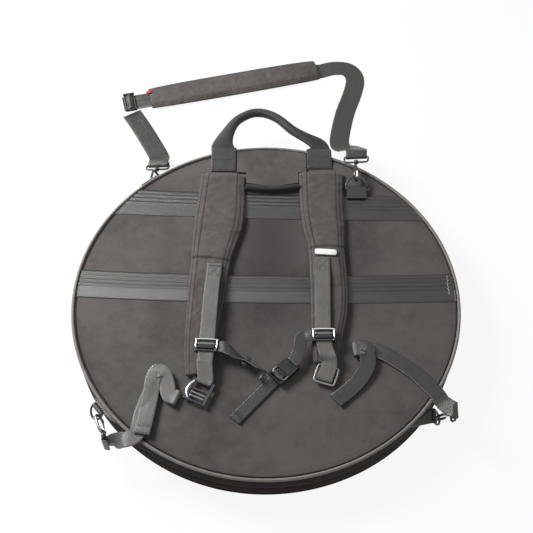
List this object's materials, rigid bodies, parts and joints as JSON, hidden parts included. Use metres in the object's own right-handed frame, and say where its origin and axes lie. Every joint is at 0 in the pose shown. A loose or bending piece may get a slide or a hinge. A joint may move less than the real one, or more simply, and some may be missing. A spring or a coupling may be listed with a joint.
{
  "type": "cymbal bag",
  "caption": "Round padded cymbal bag that lies on its front panel, with a zipped hinged lid, backpack harness, chest strap, grab handle and clip-on shoulder strap.",
  "frame": {"origin": "centre of the outer face of the front panel, which the bag lies on", "axes": "+Z out of the back panel that carries the harness, +Y from the foot to the grab handle, +X to the right"},
  "size_m": [0.6424, 0.9261, 0.0838],
  "materials": {
    "shell_fabric": "warm dark grey-brown matt woven fabric",
    "pad_fabric": "dark grey-brown padded fabric",
    "roll_fabric": "dark ribbed fabric",
    "divider_fabric": "black felt-like lining",
    "piping": "light grey-brown bound piping",
    "zip_tape": "black zip tape and coil",
    "zip_metal": "dark nickel",
    "webbing": "ribbed greenish grey webbing with a slight sheen",
    "handle_webbing": "dark grey webbing, sewn to a roll",
    "black_plastic": "black moulded plastic",
    "dark_metal": "gunmetal",
    "cast_metal": "matt cast metal",
    "bright_metal": "bright nickel"
  },
  "bodies": {
    "shell": {"front_panel": "shell_fabric", "lower_gusset": "shell_fabric", "lower_zip_tape": "zip_tape", "foot_gusset": "shell_fabric", "foot_panel": "shell_fabric"},
    "lid": {"back_panel": "shell_fabric", "back_piping": "piping", "upper_gusset": "shell_fabric", "upper_zip_tape": "zip_tape", "upper_band": "webbing", "lower_band": "webbing", "yoke_panel": "shell_fabric", "yoke_roll": "roll_fabric", "handle_anchor_left": "webbing", "handle_anchor_right": "webbing", "ring_tab_right": "webbing", "ring_tab_left": "webbing", "ring_wing_left": "webbing", "ring_wing_right": "webbing", "top_right_base": "black_plastic", "top_left_base": "black_plastic", "low_left_base": "black_plastic", "low_right_base": "black_plastic", "lower_strap_left": "webbing", "lower_strap_right": "webbing"},
    "divider": {"divider": "divider_fabric"},
    "handle": {"handle_grip": "handle_webbing"},
    "harness": {"pad_left": "pad_fabric", "pad_right": "pad_fabric", "pad_webbing_left": "webbing", "pad_webbing_right": "webbing"},
    "ladder_lock": {"ladder_lock_left": "dark_metal"},
    "bottom_ring": {"bottom_ring_right": "bright_metal"},
    "chest_strap": {"chest_slider_left": "dark_metal", "chest_slider_right": "dark_metal", "chest_strap_left": "webbing", "chest_strap_right": "webbing", "buckle_socket": "black_plastic"},
    "buckle": {"buckle_plug": "black_plastic", "chest_strap_tail": "webbing"},
    "shoulder_strap": {"shoulder_webbing_long": "webbing", "shoulder_webbing_short": "webbing", "tri_glide": "dark_metal"},
    "shoulder_pad": {"shoulder_pad": "pad_fabric"},
    "zip_slider_left": {"zip_slider_left": "zip_metal"},
    "zip_slider_right": {"zip_slider_right": "zip_metal"},
    "zip_pull_left": {"zip_pull_left": "zip_metal"},
    "zip_pull_right": {"zip_pull_right": "zip_metal"},
    "ring_top_right": {"d_ring_top_right": "dark_metal"},
    "hook_top_right": {"top_right_hook": "cast_metal"},
    "gate_top_right": {"top_right_gate": "bright_metal"},
    "ring_top_left": {"d_ring_top_left": "dark_metal"},
    "hook_top_left": {"top_left_hook": "cast_metal"},
    "gate_top_left": {"top_left_gate": "bright_metal"},
    "ring_low_left": {"d_ring_low_left": "dark_metal"},
    "hook_low_left": {"low_left_hook": "cast_metal"},
    "gate_low_left": {"low_left_gate": "bright_metal"},
    "ring_low_right": {"d_ring_low_right": "dark_metal"},
    "hook_low_right": {"low_right_hook": "cast_metal"},
    "gate_low_right": {"low_right_gate": "bright_metal"}
  },
  "joints": [
    {"name": "lid_open", "type": "hinge", "parent": "shell", "child": "lid", "pos_m": [0, -0.262, 0.06012], "axis": [1, 0, 0], "range_deg": [0, 110]},
    {"name": "divider_lift", "type": "hinge", "parent": "shell", "child": "divider", "pos_m": [0, -0.258, 0.0063], "axis": [1, 0, 0], "range_deg": [0, 55]},
    {"name": "handle_swing", "type": "hinge", "parent": "lid", "child": "handle", "pos_m": [0.00896, 0.31964, 0.05457], "axis": [0.9997, -0.0232, 0], "range_deg": [0, 100]},
    {"name": "harness_swing", "type": "hinge", "parent": "lid", "child": "harness", "pos_m": [0, 0.26432, 0.0602], "axis": [-1, 0, 0], "range_deg": [0, 90]},
    {"name": "ladder_lock_swing", "type": "hinge", "parent": "harness", "child": "ladder_lock", "pos_m": [-0.096, -0.16384, 0.0647], "axis": [-0.9135, 0.4067, 0], "range_deg": [0, 60]},
    {"name": "bottom_ring_swing", "type": "hinge", "parent": "harness", "child": "bottom_ring", "pos_m": [0.09888, -0.13568, 0.0647], "axis": [-0.9511, 0.309, 0], "range_deg": [0, 80]},
    {"name": "chest_strap_slide", "type": "slide", "parent": "harness", "child": "chest_strap", "axis": [0, 1, 0], "range_m": [-0.012, 0.015]},
    {"name": "buckle_release", "type": "slide", "parent": "chest_strap", "child": "buckle", "axis": [-0.7314, -0.682, 0], "range_m": [0, 0.028]},
    {"name": "ring_top_right_tilt", "type": "hinge", "parent": "lid", "child": "ring_top_right", "pos_m": [0.16128, 0.21888, 0.0643], "axis": [1, 0, 0], "range_deg": [-6, 6]},
    {"name": "hook_top_right_swivel", "type": "hinge", "parent": "lid", "child": "hook_top_right", "pos_m": [0.16326, 0.27052, 0.07365], "axis": [-0.0628, -0.9978, -0.0204], "range_deg": [-15, 15]},
    {"name": "gate_top_right_press", "type": "hinge", "parent": "hook_top_right", "child": "gate_top_right", "pos_m": [0.16465, 0.25946, 0.06767], "axis": [-0.9378, 0.066, -0.3407], "range_deg": [0, 25]},
    {"name": "ring_top_left_tilt", "type": "hinge", "parent": "lid", "child": "ring_top_left", "pos_m": [-0.21107, 0.24713, 0.0382], "axis": [0.7604, 0.6494, 0], "range_deg": [-6, 6]},
    {"name": "hook_top_left_swivel", "type": "hinge", "parent": "lid", "child": "hook_top_left", "pos_m": [-0.20374, 0.29501, 0.02414], "axis": [-0.0935, -0.9746, 0.2034], "range_deg": [-15, 15]},
    {"name": "gate_top_left_press", "type": "hinge", "parent": "hook_top_left", "child": "gate_top_left", "pos_m": [-0.20137, 0.28286, 0.02148], "axis": [-0.826, -0.0381, -0.5623], "range_deg": [0, 25]},
    {"name": "ring_low_left_tilt", "type": "hinge", "parent": "lid", "child": "ring_low_left", "pos_m": [-0.25887, -0.20225, 0.05052], "axis": [-0.6317, 0.7752, 0], "range_deg": [-6, 6]},
    {"name": "hook_low_left_swivel", "type": "hinge", "parent": "lid", "child": "hook_low_left", "pos_m": [-0.24673, -0.24452, 0.04932], "axis": [-0.3366, 0.9206, -0.198], "range_deg": [-15, 15]},
    {"name": "gate_low_left_press", "type": "hinge", "parent": "hook_low_left", "child": "gate_low_left", "pos_m": [-0.24743, -0.23436, 0.04181], "axis": [0.8015, 0.3904, 0.453], "range_deg": [0, 25]},
    {"name": "ring_low_right_tilt", "type": "hinge", "parent": "lid", "child": "ring_low_right", "pos_m": [0.2607, -0.20737, 0.03654], "axis": [0, -1, 0], "range_deg": [-6, 6]},
    {"name": "hook_low_right_swivel", "type": "hinge", "parent": "lid", "child": "hook_low_right", "pos_m": [0.28271, -0.20889, 0.05146], "axis": [-0.3601, 0.12, -0.9252], "range_deg": [-15, 15]},
    {"name": "gate_low_right_press", "type": "hinge", "parent": "hook_low_right", "child": "gate_low_right", "pos_m": [0.2844, -0.20657, 0.03913], "axis": [-0.1092, 0.9794, 0.1696], "range_deg": [0, 25]},
    {"name": "shoulder_strap_swing", "type": "hinge", "parent": "lid", "child": "shoulder_strap", "pos_m": [-0.01907, 0.29756, 0.04752], "axis": [0.9877, -0.065, 0.1425], "range_deg": [0, 100]},
    {"name": "shoulder_pad_slide", "type": "slide", "parent": "shoulder_strap", "child": "shoulder_pad", "axis": [0.9724, 0.2334, 0], "range_m": [-0.015, 0.015]},
    {"name": "zip_left_run", "type": "hinge", "parent": "shell", "child": "zip_slider_left", "pos_m": [0, 0, 0.029], "axis": [0, 0, 1], "range_deg": [0, 128]},
    {"name": "zip_right_run", "type": "hinge", "parent": "shell", "child": "zip_slider_right", "pos_m": [0, 0, 0.029], "axis": [0, 0, 1], "range_deg": [-128, 0]},
    {"name": "zip_pull_left_lift", "type": "hinge", "parent": "zip_slider_left", "child": "zip_pull_left", "pos_m": [-0.03385, 0.32203, 0.0316], "axis": [0.9945, 0.1045, 0], "range_deg": [0, 80]},
    {"name": "zip_pull_right_lift", "type": "hinge", "parent": "zip_slider_right", "child": "zip_pull_right", "pos_m": [0.03385, 0.32203, 0.0316], "axis": [0.9945, -0.1045, 0], "range_deg": [0, 80]}
  ],
  "couplings": [
    {"joint": "divider_lift", "follows": "lid_open", "ratio": 0.5}
  ]
}
